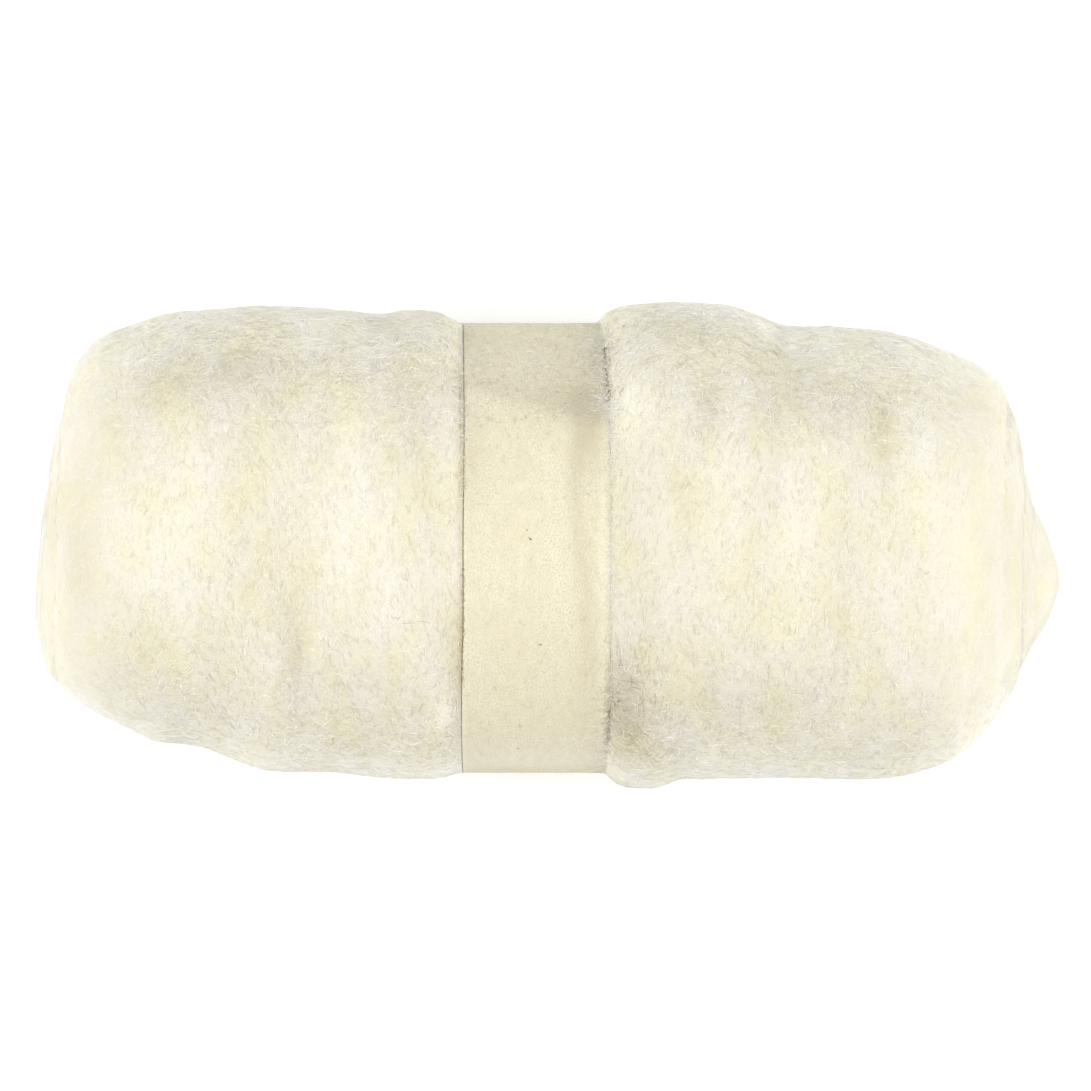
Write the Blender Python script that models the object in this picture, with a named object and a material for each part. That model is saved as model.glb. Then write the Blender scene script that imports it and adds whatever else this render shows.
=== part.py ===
"""Wool roving: a batt of carded cream wool rolled on itself, held round its middle by a paper band.

Metres, +Z up. The roll lies along X on its flat spot at z = 0, with the origin under the middle of its
box. +Y is its back, and the front, -Y, has the fuller lump beside the band.
Run it with: blender --background --python part.py
"""

import math

import bmesh
import bpy

# Every size below is in millimetres, and every angle in degrees, until to_metres() at the end.
METRES = 0.001

# Angles round the roll: 0 is the back (+Y), 90 the top, 180 the front and 270 the underside.
POINTS_AROUND = 64
ROUNDNESS = 2.08  # the section's power: 2 is an ellipse, more is squarer

# The band, and the waist that it squeezes into the wool.
BAND_LEFT = -19.8
BAND_WIDTH = 35.0
BAND_RIGHT = BAND_LEFT + BAND_WIDTH
BAND_THICKNESS = 1.0
SEAT_GAP = 0.3  # between the band and the wool inside it
BAND_BACK = 52.3
BAND_FRONT = -53.7
BAND_TOP = 94.0
BAND_FOOT = -1.6  # where the section would end below the floor, were it not flat there
WAIST_RINGS = 4
WALL_INSET = 0.4  # the foot of the wool's lip, under the band's edge
LIP_OFFSET = 1.0  # the lip itself, beside the band's edge

# The wool's rings, from an end's middle to the lip beside the band. x is the ring's place on the axis.
# back and front are its two sides in Y, top its highest point, and foot its lowest, before the floor
# flattens it. lean is how far the ring tips: the growth of x for each millimetre of y.
COLUMNS = ("x", "back", "front", "top", "foot", "lean")
LEFT_LOBE = (
    (-118.7, 0.2, -3.8, 48.4, 44.4, 0.087),
    (-119.5, 5.0, -10.0, 53.4, 39.4, 0.087),
    (-119.4, 10.0, -15.0, 58.0, 34.8, 0.088),
    (-118.9, 15.3, -19.8, 62.6, 30.0, 0.083),
    (-118.1, 21.5, -23.0, 67.5, 25.4, 0.076),
    (-117.0, 28.0, -26.5, 72.6, 20.8, 0.064),
    (-115.4, 33.5, -30.4, 77.6, 16.2, 0.056),
    (-113.4, 39.8, -33.4, 82.0, 12.0, 0.038),
    (-110.4, 45.2, -36.4, 86.2, 8.2, 0.029),
    (-105.7, 49.2, -39.3, 89.6, 4.6, 0.018),
    (-98.4, 51.6, -43.3, 92.4, 1.4, 0.0),
    (-92.5, 53.7, -46.0, 94.6, -0.6, 0.0),
    (-86.5, 55.0, -46.7, 96.0, -1.6, 0.0),
    (-80.7, 55.3, -47.7, 97.0, -2.1, 0.0),
    (-74.8, 55.8, -49.9, 97.8, -2.5, 0.0),
    (-68.9, 56.2, -52.1, 98.3, -2.7, 0.0),
    (-63.0, 56.3, -53.2, 98.5, -2.8, 0.0),
    (-51.2, 55.8, -53.5, 98.0, -2.8, 0.0),
    (-45.4, 55.2, -54.2, 97.2, -2.8, 0.0),
    (-39.5, 54.4, -54.9, 96.6, -2.8, 0.0),
    (-33.5, 55.3, -55.1, 97.2, -2.8, 0.0),
    (-27.7, 55.3, -55.1, 97.2, -2.6, 0.0),
    (-24.0, 54.4, -54.9, 96.4, -2.2, 0.0),
    (-20.8, 53.0, -54.3, 94.9, -1.8, 0.0),
)
RIGHT_LOBE = (
    (120.5, -6.0, -10.0, 47.7, 43.7, 0.0),
    (119.5, -2.5, -13.5, 51.6, 39.8, 0.0),
    (118.3, 0.9, -16.7, 55.0, 36.2, 0.0),
    (116.9, 4.7, -19.7, 58.0, 33.0, 0.0),
    (115.5, 7.3, -22.0, 60.4, 30.6, 0.0),
    (114.1, 10.2, -24.0, 62.6, 28.2, 0.0),
    (112.7, 17.9, -26.5, 67.0, 23.6, 0.0),
    (111.2, 25.7, -30.6, 71.6, 18.8, 0.0),
    (109.8, 31.8, -33.9, 75.4, 14.8, 0.0),
    (108.4, 34.8, -36.0, 78.2, 12.0, 0.0),
    (105.6, 39.1, -40.4, 82.2, 8.2, 0.0),
    (102.8, 41.7, -43.9, 85.2, 5.4, 0.0),
    (99.9, 43.3, -46.6, 87.6, 3.2, 0.0),
    (95.9, 45.0, -50.2, 90.2, 1.0, 0.0),
    (90.0, 47.3, -52.6, 92.6, -0.8, 0.0),
    (84.2, 49.1, -54.2, 94.3, -1.9, 0.0),
    (78.3, 50.5, -55.0, 95.4, -2.4, 0.0),
    (66.5, 51.2, -55.0, 96.2, -2.6, 0.0),
    (59.6, 51.3, -54.9, 96.5, -2.7, 0.0),
    (54.7, 51.9, -54.9, 97.0, -2.8, 0.0),
    (48.8, 54.4, -55.1, 98.2, -2.9, 0.0),
    (42.9, 56.3, -55.1, 99.3, -3.0, 0.0),
    (37.1, 56.8, -55.3, 99.8, -3.0, 0.0),
    (31.2, 57.2, -55.2, 100.0, -3.2, 0.0),
    (25.3, 57.2, -57.2, 100.0, -3.2, 0.0),
    (19.4, 56.5, -56.9, 98.8, -2.9, 0.0),
    (16.2, 55.2, -54.6, 96.6, -2.4, 0.0),
)
END_FACE = 46.0  # the length of profile, from an end's middle, that the end face takes
END_RING_STEP = 2.7
BODY_RING_STEP = 5.2

# The turns of the batt that show at each end, as one spiral groove pressed into the face.
TURN_PITCH = 12.0
GROOVE_DEPTH = 2.4
GROOVE_WIDTH = 5.0
GROOVE_FADE_OUT = (33.0, 41.0)  # the distance from the middle where the groove grows faint and ends
# start is the groove's angle at the middle, and core how far the plain innermost turn reaches.
SPIRAL_COLUMNS = ("inward", "start", "core")
LEFT_SPIRAL = (1.0, 200.0, 5.0)
RIGHT_SPIRAL = (-1.0, 60.0, 15.0)

# The outer turn's loose edge, which lies hidden low on the back as a soft step along the roll.
LAP_ANGLE = 306.0
LAP_SPREAD = 46.0
LAP_HEIGHT = 2.6
LAP_WAVER = 4.0  # how far the edge wanders round the roll
LAP_WAVE_LENGTH = 150.0

# Soft swells and hollows of the wool: where, how far each reaches, and how high (below 0, how deep).
SWELL_COLUMNS = ("x", "angle", "reach_x", "reach_angle", "height")
SWELLS = (
    (-97.0, 84.0, 11.0, 34.0, 1.3),
    (-79.0, 118.0, 9.0, 30.0, -1.3),
    (-74.0, 56.0, 12.0, 26.0, 1.2),
    (-59.0, 116.0, 5.5, 26.0, -1.8),
    (-56.0, 62.0, 7.0, 20.0, -1.2),
    (-44.0, 92.0, 9.0, 36.0, 1.5),
    (-30.0, 60.0, 7.0, 22.0, -1.4),
    (-27.0, 128.0, 7.0, 22.0, 1.1),
    (21.0, 52.0, 7.0, 16.0, 1.4),
    (20.0, 126.0, 5.5, 18.0, -2.0),
    (38.0, 57.0, 6.0, 22.0, -1.7),
    (36.0, 106.0, 10.0, 28.0, 1.4),
    (56.0, 84.0, 9.0, 34.0, 1.2),
    (66.0, 132.0, 10.0, 24.0, -1.3),
    (79.0, 60.0, 5.5, 28.0, -1.6),
    (92.0, 100.0, 10.0, 34.0, 1.2),
    (-70.0, 214.0, 12.0, 24.0, 1.2),
    (-40.0, 226.0, 8.0, 22.0, -1.3),
    (46.0, 212.0, 11.0, 24.0, -1.3),
    (70.0, 334.0, 13.0, 18.0, 1.0),
    (-50.0, 338.0, 9.0, 24.0, -1.3),
)
SWELL_CALM = 7.0  # next to the band the swells fade out over this distance
FULL_HALF_WIDTH = 50.0  # towards the ends they shrink with the ring

SHARP_ANGLE = 70.0  # edges that turn more than this are shaded sharp, such as the band's

WOOL_COLOUR = (0.90, 0.87, 0.72, 1.0)
WOOL_ROUGHNESS = 0.95
BAND_COLOUR = (0.87, 0.82, 0.66, 1.0)
BAND_ROUGHNESS = 0.85


def remove_all_objects():
    for old in list(bpy.data.objects):
        bpy.data.objects.remove(old)


def smooth_step(low, high, value):
    """0 below low, 1 above high, and an even rise between them."""
    share = min(1.0, max(0.0, (value - low) / (high - low)))
    return share * share * (3.0 - 2.0 * share)


def signed_power(value, power):
    return math.copysign(abs(value) ** power, value)


def turn_between(angle, other):
    """The shortest way round from one angle to another, in degrees."""
    return (angle - other + 180.0) % 360.0 - 180.0


def angles_around():
    return [360.0 * i / POINTS_AROUND for i in range(POINTS_AROUND)]


def section_point(ring, angle):
    """(y, z) on a ring's rounded section, before the floor flattens it."""
    turn = math.radians(angle)
    half_width = (ring["back"] - ring["front"]) / 2.0
    half_height = (ring["top"] - ring["foot"]) / 2.0
    middle_y = (ring["back"] + ring["front"]) / 2.0
    middle_z = (ring["top"] + ring["foot"]) / 2.0
    y = middle_y + half_width * signed_power(math.cos(turn), 2.0 / ROUNDNESS)
    z = middle_z + half_height * signed_power(math.sin(turn), 2.0 / ROUNDNESS)
    return y, z


def waist_section(offset):
    """The waist's section at this distance inside the band's outer face, as y and z points."""
    ring = {
        "back": BAND_BACK - offset,
        "front": BAND_FRONT + offset,
        "top": BAND_TOP - offset,
        "foot": BAND_FOOT + offset,
    }
    points = [section_point(ring, angle) for angle in angles_around()]
    return [(y, max(z, offset)) for y, z in points]


def profile_lengths(rows):
    """How far each row lies along the profile, from the first one."""
    lengths = [0.0]
    for before, after in zip(rows, rows[1:]):
        along = after["x"] - before["x"]
        outward = (after["back"] - after["front"] - before["back"] + before["front"]) / 2.0
        lengths.append(lengths[-1] + math.hypot(along, outward))
    return lengths


def curve_value(lengths, values, place):
    """A smooth curve through the values, read at this length along the profile."""
    last = len(lengths) - 1
    i = max(k for k in range(last) if lengths[k] <= place)
    slopes = []
    for k in (i, i + 1):
        low = max(k - 1, 0)
        high = min(k + 1, last)
        slopes.append((values[high] - values[low]) / (lengths[high] - lengths[low]))
    step = lengths[i + 1] - lengths[i]
    t = (place - lengths[i]) / step
    start = (1.0 + 2.0 * t) * (1.0 - t) ** 2
    start_slope = t * (1.0 - t) ** 2 * step
    end = t * t * (3.0 - 2.0 * t)
    end_slope = t * t * (t - 1.0) * step
    return values[i] * start + slopes[0] * start_slope + values[i + 1] * end + slopes[1] * end_slope


def lobe_rings(table):
    """Rings from an end's middle to the band, closer together on the end face."""
    rows = [dict(zip(COLUMNS, row)) for row in table]
    lengths = profile_lengths(rows)
    face_rings = round(END_FACE / END_RING_STEP)
    body_rings = round((lengths[-1] - END_FACE) / BODY_RING_STEP)
    body_step = (lengths[-1] - END_FACE) / body_rings
    places = [END_FACE * i / face_rings for i in range(face_rings)]
    places += [END_FACE + body_step * i for i in range(body_rings)]
    places.append(lengths[-1])
    columns = {name: [row[name] for row in rows] for name in COLUMNS}
    return [
        {name: curve_value(lengths, columns[name], place) for name in COLUMNS}
        for place in places
    ]


def swell_height(ring, angle):
    """How far the wool stands out here, from the table of swells and the outer turn's lap."""
    height = 0.0
    for row in SWELLS:
        swell = dict(zip(SWELL_COLUMNS, row))
        along = (ring["x"] - swell["x"]) / swell["reach_x"]
        round_ = turn_between(angle, swell["angle"]) / swell["reach_angle"]
        height += swell["height"] * math.exp(-along * along - round_ * round_)
    waver = LAP_WAVER * math.sin(2.0 * math.pi * ring["x"] / LAP_WAVE_LENGTH)
    past_lap = (angle - LAP_ANGLE - waver) % 360.0
    if past_lap < LAP_SPREAD:
        height += LAP_HEIGHT * (1.0 - smooth_step(0.0, LAP_SPREAD, past_lap))
    from_band = max(BAND_LEFT - ring["x"], ring["x"] - BAND_RIGHT)
    calm = smooth_step(LIP_OFFSET, LIP_OFFSET + SWELL_CALM, from_band)
    size = (ring["back"] - ring["front"]) / 2.0 / FULL_HALF_WIDTH
    return height * calm * min(1.0, size) ** 2


def groove_depth(distance, angle, spiral):
    """The spiral groove's depth, this far from the middle of the end's face."""
    turns = distance / TURN_PITCH - (angle - spiral["start"]) / 360.0
    from_line = (turns - round(turns)) * TURN_PITCH
    fade = 1.0 - smooth_step(GROOVE_FADE_OUT[0], GROOVE_FADE_OUT[1], distance)
    fade *= smooth_step(spiral["core"], spiral["core"] + GROOVE_WIDTH, distance)
    return GROOVE_DEPTH * fade * math.exp(-((2.0 * from_line / GROOVE_WIDTH) ** 2))


def ring_points(ring, spiral):
    """The points of one ring, with its swells, the lap and the end's groove."""
    middle_y = (ring["back"] + ring["front"]) / 2.0
    middle_z = (ring["top"] + ring["foot"]) / 2.0
    points = []
    for angle in angles_around():
        y, z = section_point(ring, angle)
        distance = math.hypot(y - middle_y, z - middle_z)
        out = 1.0 + swell_height(ring, angle) / distance
        y = middle_y + (y - middle_y) * out
        z = middle_z + (z - middle_z) * out
        x = ring["x"] + ring["lean"] * (y - middle_y)
        x += spiral["inward"] * groove_depth(distance, angle, spiral)
        points.append((x, y, max(z, 0.0)))
    return points


def lobe_points(table, spiral_row):
    """Every ring's points in one lobe, from its end's middle to the band."""
    spiral = dict(zip(SPIRAL_COLUMNS, spiral_row))
    return [ring_points(ring, spiral) for ring in lobe_rings(table)]


def to_metres(point):
    return tuple(value * METRES for value in point)


def add_ring(bm, points):
    """A closed loop of edges through these points."""
    corners = [bm.verts.new(to_metres(point)) for point in points]
    return [bm.edges.new((a, b)) for a, b in zip(corners, corners[1:] + corners[:1])]


def skin_between(bm, rings):
    """Faces from each ring to the next."""
    for one, other in zip(rings, rings[1:]):
        for edge, facing in zip(one, other):
            bm.faces.new((*edge.verts, facing.verts[1], facing.verts[0]))


def close_end(bm, ring):
    """A fan of faces from an end's innermost ring to its middle."""
    face = bm.faces.new([edge.verts[0] for edge in ring])
    bmesh.ops.poke(bm, faces=[face])


def make_material(name, colour, roughness):
    material = bpy.data.materials.new(name)
    material.use_nodes = True
    shader = material.node_tree.nodes["Principled BSDF"]
    shader.inputs["Base Color"].default_value = colour
    shader.inputs["Roughness"].default_value = roughness
    shader.inputs["Metallic"].default_value = 0.0
    return material


def finish_object(name, bm, material):
    """The mesh as one named, smooth-shaded object with its faces pointing out."""
    bmesh.ops.recalc_face_normals(bm, faces=bm.faces)
    mesh = bpy.data.meshes.new(name)
    bm.to_mesh(mesh)
    bm.free()
    mesh.shade_smooth()
    mesh.set_sharp_from_angle(angle=math.radians(SHARP_ANGLE))
    mesh.materials.append(material)
    piece = bpy.data.objects.new(name, mesh)
    bpy.context.scene.collection.objects.link(piece)
    return piece


def make_wool_roll():
    """The wound wool: left lobe, waist under the band, right lobe, and a spiral at each end."""
    left = lobe_points(LEFT_LOBE, LEFT_SPIRAL)
    right = lobe_points(RIGHT_LOBE, RIGHT_SPIRAL)
    waist = []
    for i in range(WAIST_RINGS):
        share = i / (WAIST_RINGS - 1)
        x = BAND_LEFT - WALL_INSET + share * (BAND_WIDTH + 2.0 * WALL_INSET)
        waist.append([(x, y, z) for y, z in waist_section(BAND_THICKNESS + SEAT_GAP)])
    bm = bmesh.new()
    rings = [add_ring(bm, points) for points in left + waist + right[::-1]]
    skin_between(bm, rings)
    close_end(bm, rings[0])
    close_end(bm, rings[-1])
    return finish_object("wool_roll", bm, make_material("wool", WOOL_COLOUR, WOOL_ROUGHNESS))


def make_band():
    """The paper ring: its outer face, two edges and inner face are one closed strip."""
    outside = waist_section(0.0)
    inside = waist_section(BAND_THICKNESS)
    around = [
        [(BAND_LEFT, y, z) for y, z in inside],
        [(BAND_LEFT, y, z) for y, z in outside],
        [(BAND_RIGHT, y, z) for y, z in outside],
        [(BAND_RIGHT, y, z) for y, z in inside],
    ]
    bm = bmesh.new()
    rings = [add_ring(bm, points) for points in around]
    skin_between(bm, rings + rings[:1])
    return finish_object("band", bm, make_material("band_paper", BAND_COLOUR, BAND_ROUGHNESS))


remove_all_objects()
make_wool_roll()
make_band()
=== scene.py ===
"""The looks of the wool roving: a rolled batt of carded wool in a plain paper band.

The wool is one modelled skin with its swells, locks and spiral ends, under layers of single fibres that are
modelled as thin ribbons. The band is a thin paper strip with its glued lap low on the roll's back.
"""

import math

import bpy
import numpy as np
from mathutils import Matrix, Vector


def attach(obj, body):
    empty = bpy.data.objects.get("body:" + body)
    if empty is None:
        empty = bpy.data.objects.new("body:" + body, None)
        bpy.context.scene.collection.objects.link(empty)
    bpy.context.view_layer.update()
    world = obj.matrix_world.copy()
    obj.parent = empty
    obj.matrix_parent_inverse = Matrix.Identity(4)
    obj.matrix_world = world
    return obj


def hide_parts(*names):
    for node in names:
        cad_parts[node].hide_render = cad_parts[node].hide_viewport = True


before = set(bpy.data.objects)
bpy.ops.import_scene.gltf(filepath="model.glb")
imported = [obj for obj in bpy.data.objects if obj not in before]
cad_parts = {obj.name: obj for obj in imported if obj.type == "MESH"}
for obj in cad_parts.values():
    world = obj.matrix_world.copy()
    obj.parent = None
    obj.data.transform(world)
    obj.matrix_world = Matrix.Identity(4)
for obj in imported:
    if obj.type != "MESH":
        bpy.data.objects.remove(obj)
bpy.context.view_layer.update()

# Sizes are in millimetres and angles in degrees until a mesh or an object is made.
METRES = 0.001
TINY = 1e-9  # keeps divisors above nothing
# Angles round the roll: 0 is the back (+Y), 90 the top, 180 the front and 270 the underside.
TOP = 90.0
UNDERSIDE = 270.0
SEAM_ANGLE = UNDERSIDE  # where the unrolled skin starts, hidden on the flat spot

# ---- The roll's form, as in the part ---------------------------------------
ROUNDNESS = 2.08  # of the sections, where 2 is an ellipse
BAND_LEFT = -19.8
BAND_WIDTH = 35.0
BAND_RIGHT = BAND_LEFT + BAND_WIDTH
BAND_BACK = 52.3
BAND_FRONT = -53.7
BAND_TOP = 94.0
BAND_FOOT = -1.6
PAPER = 0.4  # the paper's thickness
WOOL_INSET = 1.2  # the wool's skin under the band, below the band's outer face
# The band spans a dip high on the back: the angles where it goes flat at its left and right edges, and
# how fully.
FLAT_START = 12.0
FLAT_ENDS = (46.0, 60.0)
FLAT_SOFTNESS = 7.0
FLATNESS = 0.8
# Spots round the roll: where, how far round they reach, and by how much.
SPOT_COLUMNS = ("angle", "reach", "amount")
# The strip isn't quite straight: where its left edge lies further in.
LEANS = (
    (62, 32, 0.55),
    (106, 14, 0.3),
    (142, 22, -0.15),
)
LEAN_FADE = 7.0
# To the right of the band the wool swells over its edge.
OVERHANGS = (
    (0, 14, 1.15),
    (0, 38, 1.85),
    (180, 38, 1.3),
)
LEAST_OVERHANG = 1.35
OVERHANG_FADE = 12.0
# Beside the band the wool is drawn in, until its lips meet the band's outer face.
SHOULDER_WIDTHS = (3.0, 6.5)  # on the roll's sides, and the gentler shoulder on its top
LIP_OFFSET = 1.0  # of the lips from the band's edges
RIM = 0.2  # a last ring lies this close to each lip, so that it turns in sharply
LIP_RISES = (0.0, 0.08)  # over the band's outer face, left and right
# Where the right lip stands further off the band.
LIP_LIFTS = (
    (34, 12, 0.35),
    (142, 11, 0.08),
)
# Inside the lips the wool turns in under the band: distance out from the band's edge, and depth.
LEFT_CURL = ((0.45, 0.0), (0.18, 0.04), (0.06, 0.45), (-0.5, WOOL_INSET))
RIGHT_CURL = ((0.99, -0.03), (0.25, -0.03), (0.12, 0.45), (-0.5, WOOL_INSET))
UNDER_MARGIN = 1.0  # of the even rings under the band, from its edges

# The roll's sections from its ends inwards: place, the four extremes, and how much they slant.
RING_COLUMNS = ("x", "back", "front", "top", "foot", "lean")
LEFT_LOBE = (
    (-118.7, 0.2, -3.8, 48.4, 44.4, 0.087),
    (-119.5, 5, -10, 53.4, 39.4, 0.087),
    (-119.4, 10, -15, 58, 34.8, 0.088),
    (-118.9, 15.3, -19.8, 62.6, 30, 0.083),
    (-118.1, 21.5, -23, 67.5, 25.4, 0.076),
    (-117, 28, -26.5, 72.6, 20.8, 0.064),
    (-115.4, 33.5, -30.4, 77.6, 16.2, 0.056),
    (-113.4, 39.8, -33.4, 82, 12, 0.038),
    (-110.4, 45.2, -36.4, 86.2, 8.2, 0.029),
    (-105.7, 49.2, -39.3, 89.6, 4.6, 0.018),
    (-98.4, 51.6, -43.3, 92.4, 1.4, 0),
    (-92.5, 53.7, -46, 94.6, -0.6, 0),
    (-86.5, 55, -46.7, 96, -1.6, 0),
    (-80.7, 55.3, -47.7, 97, -2.1, 0),
    (-74.8, 55.8, -49.9, 97.8, -2.5, 0),
    (-68.9, 56.2, -52.1, 98.3, -2.7, 0),
    (-63, 56.3, -53.2, 98.5, -2.8, 0),
    (-51.2, 55.8, -53.5, 98, -2.8, 0),
    (-45.4, 55.2, -54.2, 97.2, -2.8, 0),
    (-39.5, 54.4, -54.9, 96.6, -2.8, 0),
    (-33.5, 55.3, -55.1, 97.2, -2.8, 0),
    (-27.7, 55.3, -55.1, 97.2, -2.6, 0),
    (-24, 54.4, -54.9, 96.4, -2.2, 0),
    (-20.8, 53, -54.3, 94.9, -1.8, 0),
)
RIGHT_LOBE = (
    (120.5, -6, -10, 47.7, 43.7, 0),
    (119.5, -2.5, -13.5, 51.6, 39.8, 0),
    (118.3, 0.9, -16.7, 55, 36.2, 0),
    (116.9, 4.7, -19.7, 58, 33, 0),
    (115.5, 7.3, -22, 60.4, 30.6, 0),
    (114.1, 10.2, -24, 62.6, 28.2, 0),
    (112.7, 17.9, -26.5, 67, 23.6, 0),
    (111.2, 25.7, -30.6, 71.6, 18.8, 0),
    (109.8, 31.8, -33.9, 75.4, 14.8, 0),
    (108.4, 34.8, -36, 78.2, 12, 0),
    (105.6, 39.1, -40.4, 82.2, 8.2, 0),
    (102.8, 41.7, -43.9, 85.2, 5.4, 0),
    (99.9, 43.3, -46.6, 87.6, 3.2, 0),
    (95.9, 45, -50.2, 90.2, 1, 0),
    (90, 47.3, -52.6, 92.6, -0.8, 0),
    (84.2, 49.1, -54.2, 94.3, -1.9, 0),
    (78.3, 50.5, -55, 95.4, -2.4, 0),
    (66.5, 51.2, -55, 96.2, -2.6, 0),
    (59.6, 51.3, -54.9, 96.5, -2.7, 0),
    (54.7, 51.9, -54.9, 97, -2.8, 0),
    (48.8, 54.4, -55.1, 98.2, -2.9, 0),
    (42.9, 56.3, -55.1, 99.3, -3, 0),
    (37.1, 56.8, -55.3, 99.8, -3, 0),
    (31.2, 57.2, -55.2, 100, -3.2, 0),
    (25.3, 57.2, -57.2, 100, -3.2, 0),
    (19.4, 56.5, -56.9, 98.8, -2.9, 0),
    (16.2, 55.2, -54.6, 96.6, -2.4, 0),
)
# The spiral groove on each end, and the distances from the end's middle over which it fades out.
TURN_PITCH = 12.0
GROOVE_DEPTH = 2.4
GROOVE_WIDTH = 3.6
GROOVE_FADE_OUT = (33.0, 41.0)
# On the ends' upper halves the grooves are shallow: how far round from the underside, and their share.
GROOVE_TURN = (50.0, 85.0)
UPPER_GROOVE = 0.25
SPIRAL_COLUMNS = ("inward", "start", "core")
LEFT_SPIRAL = (1.0, 200.0, 5.0)
RIGHT_SPIRAL = (-1.0, 60.0, 15.0)
# The outer turn's loose edge: its angle, how far round the wool beside it is raised, and how high.
LAP_ANGLE = 306.0
LAP_SPREAD = 46.0
LAP_HEIGHT = 2.4
LAP_SOFTNESS = 2.0  # the degrees over which the edge falls away
LAP_WAVER = 4.0  # the degrees by which it wavers
LAP_WAVE_LENGTH = 150.0
LAP_FADE = (38.0, 48.0)  # the half widths of the roll over which the lap grows from the ends
# Soft patches over the skin or the band: where, how far each way they reach, and how much they add.
PATCH_COLUMNS = ("x", "angle", "reach_x", "reach_angle", "amount")
SWELLS = (
    (-97, 84, 11, 34, 1.3),
    (-79, 118, 9, 30, -1.3),
    (-74, 56, 12, 26, 1.2),
    (-59, 116, 5.5, 26, -1.8),
    (-56, 62, 7, 20, -1.2),
    (-44, 92, 9, 36, 1.5),
    (-30, 60, 7, 22, -1.4),
    (-27, 128, 7, 22, 1.1),
    (21, 52, 7, 16, 1.4),
    (20, 126, 5.5, 18, -2),
    (38, 57, 6, 22, -1.7),
    (36, 106, 10, 28, 1.4),
    (56, 84, 9, 34, 1.2),
    (66, 132, 10, 24, -1.3),
    (79, 60, 5.5, 28, -1.6),
    (92, 100, 10, 34, 1.2),
    (-70, 214, 12, 24, 1.2),
    (-40, 226, 8, 22, -1.3),
    (46, 212, 11, 24, -1.3),
    (70, 334, 13, 18, 1),
    (-50, 338, 9, 24, -1.3),
)
SWELL_CALM = 7.0  # the distance from the band over which the swells grow
FULL_HALF_WIDTH = 50.0  # of the roll, from which the unevenness is at its full height

# ---- The wool's fine form ---------------------------------------------------
RING_STEP = 1.12
POINTS_AROUND = 312
SLOPE_STEP = 0.5  # the degrees over which the band's slope is measured
FLOOR_SOFTNESS = 1.2  # how gently the wool rolls off its flat spot
FINE_CALM = (0.3, 3.0)  # the distances from the band over which the unevenness grows
# Each layer of unevenness: how long its lumps are along the roll and around it, and their height.
LAYER_COLUMNS = ("along", "around", "height")
SKIN_LAYERS = (
    (12, 16, 0.08),
    (4, 12, 0.03),
    (1.6, 5, 0.035),
    (1, 1.4, 0.045),
)
LUMP_BLUR = 0.5  # of a lump's length
SKIN_SEED = 7
FLOW_SEED = 27
TONE_SEED = 47
# The wool's tone runs from -1, brown painted shade, through 0, deep and yellow, to 1, pale. It wanders in
# soft patches.
PLAIN_TONE = 0.495
TONE_LAYERS = (
    (8, 26, 0.035),
    (3, 8, 0.02),
)
# Patches that are paler or, where less than 0, darker. Most are painted light and shade: painted shade in the
# swells' dips, beside the band's left edge and on the upper shoulders, and painted highlights on the bulges
# and along the top and bottom outline.
TONE_LIGHT_AND_SHADE_MARKS = (
    # painted shade in the dips of the swells
    (-58.3, 119, 2.6, 14, -0.26),
    (38, 57, 3.4, 9, -0.24),
    (78.3, 60, 2.8, 15, -0.22),
    (18, 128, 4, 13, -0.26),
    (20, 141, 6.5, 13, -0.3),
    # painted shade beside the band's left edge
    (-21.2, 135, 1.6, 34, -0.12),
    (-20.2, 112, 0.8, 17, -0.62),
    (-20.5, 56, 1.1, 22, -0.38),
    (-20.5, 78, 0.9, 14, -0.18),
    (56, 16, 17, 11, 0.2),
    # painted light along the roll's top and bottom outline
    (0, 172, 400, 14, 0.26),
    (-20, 157, 80, 13, 0.14),
    (0, 4, 400, 15, 0.13),
    (-82, 12, 14, 12, 0.09),
    (50, 132, 13, 13, -0.15),
    (20, 180, 14, 10, -0.26),
    (-60, 27, 60, 17, 0.16),
    (60, 24, 50, 15, 0.12),
    # painted shade on the upper shoulders and in a dip beside them
    (-85, 46, 26, 11, -0.13),
    (-50, 43, 16, 8, -0.11),
    (34, 27, 20, 12, -0.2),
    (66, 48, 24, 12, -0.14),
    (-30, 60, 5, 16, -0.12),
    # painted highlights on bulges
    (20.5, 54, 4.5, 9, 0.38),
    (-24, 135, 3, 7, 0.3),
    (-44, 92, 7, 30, 0.1),
    (-98, 40, 8, 14, 0.12),
    (56, 80, 6, 24, 0.06),
    (-113, 90, 9, 60, -0.17),
    (112, 90, 12, 60, -0.25),
)
# Where the fibres stand out more or less.
RELIEF_MARKS = (
    (-50, 36, 70, 20, 0.6),
    (65, 34, 60, 20, 0.3),
    (20, 130, 12, 16, 0.6),
    (-22, 125, 5, 30, 0.4),
    (18, 40, 5, 20, 0.4),
    (0, 148, 110, 18, 0.25),
    (0, 2, 400, 15, -0.6),
    (0, 178, 400, 13, -0.5),
)
PLAIN_RELIEF = 0.72  # how much they do on the roll's top
GRAZED_RELIEF = 0.58  # and how much more low on the roll's sides
# Towards the ends the wool is smoother: how far from this x, and how much of the relief is left.
END_CALM_MIDDLE = -4.0
END_CALM = (84.0, 106.0)
END_RELIEF = 0.15

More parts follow.
